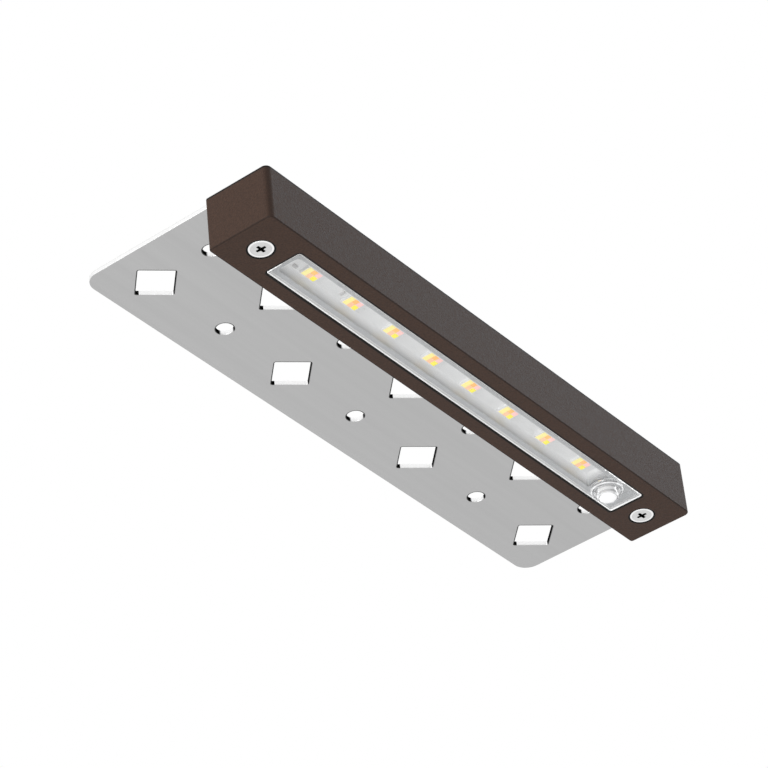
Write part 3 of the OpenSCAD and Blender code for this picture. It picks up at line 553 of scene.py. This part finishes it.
def window_outline(steps=12):
    """Outline of the window: a rectangle with corners of radius 1.3 at the left, whose right end
    is hollowed by the ring of radius 4.8 round the button's axis. Fillets join the two; their
    centres lie one fillet inside the long edges and 4.8 plus one fillet from the axis."""
    half, ring, corner, fillet, left, axis = 3.25, 4.8, 1.3, 0.6, -70.7, button_x
    drop = half - fillet
    reach = np.sqrt((ring + fillet) ** 2 - drop ** 2)
    lean = np.arctan2(drop, reach)
    turns = [(left + corner, half - corner, np.pi / 2, np.pi, corner),
             (left + corner, corner - half, np.pi, 1.5 * np.pi, corner),
             (axis - reach, -drop, 1.5 * np.pi, 2 * np.pi + lean, fillet),
             (axis, 0, np.pi + lean, np.pi - lean, -ring),
             (axis - reach, drop, -lean, np.pi / 2, fillet)]
    points, normals = [], []
    for x, y, start, stop, radius in turns:
        angles = np.linspace(start, stop, steps + 1)
        ray = np.stack([np.cos(angles), np.sin(angles)], axis=1)
        points.append((x, y) + abs(radius) * ray)
        normals.append(ray * np.sign(radius))
    return np.vstack(points), np.vstack(normals)


t = np.linspace(0, np.pi / 2, 10)
cove = np.column_stack([-1.2 * (1 - np.cos(t)), 1.84 + 2.84 * np.sin(t)])
lip_profile = [(0.3, lip_level), (0.12, lip_level), (0.04, 1.75)]
opening = swept(window_outline(), np.vstack([lip_profile, cove]))
# Painted light whitens the wall from its lip in to the board; the lip carries a painted
# highlight along the front, and painted shade where it rings the button.
cove_painted_light = np.r_[0, 0, 0, 0, 0.3, 0.6, 0.8, 0.95, 1, 1, 1, 1][:, None]
edge_points, edge_normals = window_outline()
lip_painted_highlight = np.r_[0.3, 1, 1, np.zeros(9)][:, None] * (edge_normals[:, 1] < -0.5)
ringed = (edge_normals[:, 0] > 0.2) & (edge_points[:, 0] > 0)
ring_painted_shade_and_light = np.r_[-0.3, -0.9, -0.9, -0.4, -0.1, 0.1, 0.3, 0.5, 0.7, 0.9, 1, 1][:, None]
border = swept(rounded(-72.9, 72.9, -5.45, 5.45, 0.9, 0.9), np.vstack([
    eased([(-0.3, board_level), (0, board_level), (0, lip_level), (-0.75, lip_level)], 0.1),
    [(-0.88, lip_level)]]))
# Painted light on the ledge where the lens lies.
ledge_painted_light = np.r_[np.zeros(len(border) - 3), 0.8, 0.4][:, None]
ring_bore = swept(round_hole(button_x, 0), [(3.8, lip_level), (3.8, board_level)])
shape("reflector_moulding", [
    band(opening, np.where(ringed, ring_painted_shade_and_light, cove_painted_light + lip_painted_highlight)),
    band(border, ledge_painted_light), band(ring_bore),
    flat(lip_level, border[-1], opening[0], ring_bore[0]),
    flat(board_level, border[0], opening[-1], ring_bore[-1]),
], reflector_plastic, "fixture", "reflector_frame")


# Button. A white moulded core in a clear cap, which slides in a clear collar glued into the
# lens and presses the tact switch behind the strip board.

def lathed(profile, radius, rims, faint_glow=0.06, steps=128):
    """A closed profile (radius, level) turned about the button's axis. Its tone, which sets a
    painted white glow, is faint_glow, but on each rim, which is (least radius, most radius,
    least level, most level, tone)."""
    profile = eased([*profile, profile[0]], radius)
    out, level = (profile[1:] + profile[:-1]).T / 2
    tones = np.full(len(out), faint_glow)
    for near, far, low, high, tone in rims:
        tones[(out > near) & (out < far) & (level > low) & (level < high)] = tone
    return band(swept(round_hole(button_x, 0, steps), profile), tones[:, None])


clear_button = see_through("clear_button", (0.97, 0.975, 0.98), 1.16, 0.04, 0.65)
# Its emission is a painted glow on the dome, and its shaded colour painted shade on the side.
white_core = finish("white_core", (500, 500, 500), 0.000003,
                    (0.90, 0.90, 0.90), (0.94, 0.94, 0.94), 0.12, 0.02, shaded=(0.40, 0.40, 0.41),
                    by_tone={"Emission_Color": (0.0, 1.0)}, Emission_Strength=0.25)
# The collar and cap carry a faint painted glow, with painted highlights on their rims.
shape("clear_collar", [lathed([
    (3.38, 1.66), (3.38, -0.6), (4.05, -0.6), (4.35, -0.3), (4.35, 1.66)], 0.15,
    [(4.1, 4.4, -0.7, -0.2, 0.8), (3.3, 3.5, -0.7, -0.45, 0.5)])],
    clear_button, "fixture", "button_collar", smooth=50)
shape("clear_cap", [lathed([
    (2.42, 2.3), (2.42, -2.7), (2.65, -2.7), (2.9, -2.4), (2.9, -1.5), (3.3, -1.1),
    (3.3, 0.38), (2.74, 0.38), (2.74, 1.02), (3.3, 1.02), (3.3, 1.72), (3.65, 1.72), (3.65, 2.3)],
    0.12, [(2.6, 3.0, -2.8, -2.3, 0.4), (2.85, 3.4, -1.55, -1.0, 0.4)])],
    clear_button, "button", "button_cap", smooth=50)
t = np.linspace(0, np.pi / 2, 12)
dome = np.column_stack([2.4 * np.sin(t), -2.45 - 0.55 * np.cos(t)])
core = np.vstack([dome, eased([(2.4, -2.3), (2.4, 2.3), (1.2, 2.3), (1.2, 5.1), (0, 5.1)], 0.2)])
# Tone 1 gives the dome its painted glow, and -0.45 gives the side its painted shade.
dome_glow_side_shade = np.where(np.arange(len(core) - 1) < len(dome) - 1, 1.0, -0.45)[:, None]
shape("white_button_core", [band(swept(round_hole(button_x, 0, 128), core), dome_glow_side_shade)],
      white_core, "button", "button_core", smooth=50)


# Lamp board. A strip board with a white face, which carries eight LED packages and two small
# chips. Each package has five phosphor tiles of different warmth. The board is pressed to the
# shelf on a soft silicone pad that takes its heat away.

def dress(nodes, material):
    """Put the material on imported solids, which keep the shapes that they were packed with."""
    for node in nodes.split():
        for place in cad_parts[node].material_slots:
            place.material = material


dress("led_board", finish(
    "led_board_white", (300, 300, 300), 0.000003,
    (0.86, 0.86, 0.86), (0.90, 0.90, 0.90), 0.4, 0.04))
dress("led_packages", finish(
    "led_package_white", (700, 700, 700), 0.000003,
    (0.86, 0.86, 0.86), (0.90, 0.90, 0.90), 0.4))
dress("led_board_chips", finish(
    "chip_grey", (900, 900, 900), 0.000005,
    (0.60, 0.595, 0.59), (0.66, 0.655, 0.65), 0.5))
dress("thermal_pad", finish(
    "pad_silicone", (500, 500, 500), 0.00002,
    (0.20, 0.24, 0.28), (0.26, 0.30, 0.34), 0.7))
phosphors = {
    "pale_yellow": ((1.0, 0.82, 0.18), (1.0, 0.90, 0.34)),
    "orange": ((1.0, 0.42, 0.07), (1.0, 0.58, 0.14)),
    "peach": ((1.0, 0.46, 0.22), (1.0, 0.62, 0.36)),
    "pink": ((1.0, 0.50, 0.46), (1.0, 0.62, 0.58)),
    "bright_yellow": ((1.0, 0.84, 0.0), (1.0, 0.90, 0.02)),
}
# Each tile's emission is a faint painted glow in its own colour.
for name, (dark, light) in phosphors.items():
    painted_glow = tuple(np.array(light) * 0.9) + (1,)
    dress("tiles_" + name, finish("phosphor_" + name, (90, 90, 90), 0.000003, dark, light, 0.35,
                                  Emission_Color=painted_glow, Emission_Strength=0.35))


# Driver. A green glass-fibre board, screwed to the bar's two bosses, with the parts that feed
# the LEDs and a terminal for the cable. Tinned pins join it to the lamp board.

dress("driver_board", finish(
    "board_green", (400, 400, 400), 0.000005,
    (0.010, 0.085, 0.035), (0.016, 0.11, 0.05), 0.35))
dress("driver_chip rectifier driver_resistors", finish(
    "chip_black", (1500, 1500, 1500), 0.000006,
    (0.012, 0.012, 0.013), (0.022, 0.022, 0.024), 0.5))
dress("power_inductor", finish(
    "ferrite", (900, 900, 900), 0.00001,
    (0.04, 0.04, 0.045), (0.065, 0.065, 0.07), 0.6))
dress("capacitors", finish(
    "can_aluminium", (1200, 1200, 40), 0.000003,
    (0.56, 0.57, 0.58), (0.66, 0.67, 0.68), 0.3, Metallic=1.0))
dress("input_terminal", finish(
    "terminal_green", (500, 500, 500), 0.000004,
    (0.02, 0.16, 0.09), (0.035, 0.20, 0.12), 0.45))
dress("link_pins", finish(
    "pin_tin", (900, 900, 900), 0.000003,
    (0.72, 0.72, 0.70), (0.80, 0.80, 0.78), 0.35, Metallic=1.0))


# Cover, nuts and cable gland. An aluminium cover on a rubber gasket closes the driver's
# compartment with four screws. The clinch nuts are pressed into the plate, and the cable comes
# in through a black nylon gland in the back.

dress("top_cover", finish(
    "cover_aluminium", (20, 900, 900), 0.000004,
    (0.56, 0.57, 0.58), (0.64, 0.65, 0.66), 0.38, Metallic=1.0))
dress("cover_gasket gland_seal", finish(
    "gasket_rubber", (700, 700, 700), 0.00001,
    (0.010, 0.010, 0.010), (0.020, 0.020, 0.020), 0.7))
dress("clinch_nuts cover_screws driver_screws", finish(
    "nut_steel", (600, 600, 600), 0.000004,
    (0.52, 0.52, 0.50), (0.60, 0.60, 0.58), 0.32, 0.05, Metallic=1.0))
dress("gland_body gland_nut", finish(
    "gland_nylon", (900, 900, 900), 0.00001,
    (0.012, 0.012, 0.012), (0.022, 0.022, 0.022), 0.45))


# Switch. A tact switch under the driver board: a black base with a steel cover, a steel snap
# dome and a white stem, which the button's core presses. A rubber ring seals the button's cap.

dress("switch_base", finish(
    "switch_black", (900, 900, 900), 0.000006,
    (0.012, 0.012, 0.012), (0.020, 0.020, 0.020), 0.5))
dress("switch_cover switch_dome", finish(
    "spring_steel", (30, 900, 900), 0.000003,
    (0.58, 0.57, 0.55), (0.66, 0.65, 0.62), 0.3, Metallic=1.0))
dress("switch_stem", finish(
    "stem_white", (600, 600, 600), 0.000004,
    (0.68, 0.68, 0.68), (0.74, 0.74, 0.74), 0.4))
dress("button_seal", finish(
    "grey_ring_rubber", (800, 800, 800), 0.000003,
    (0.16, 0.16, 0.165), (0.20, 0.20, 0.205), 0.4, 0.04))
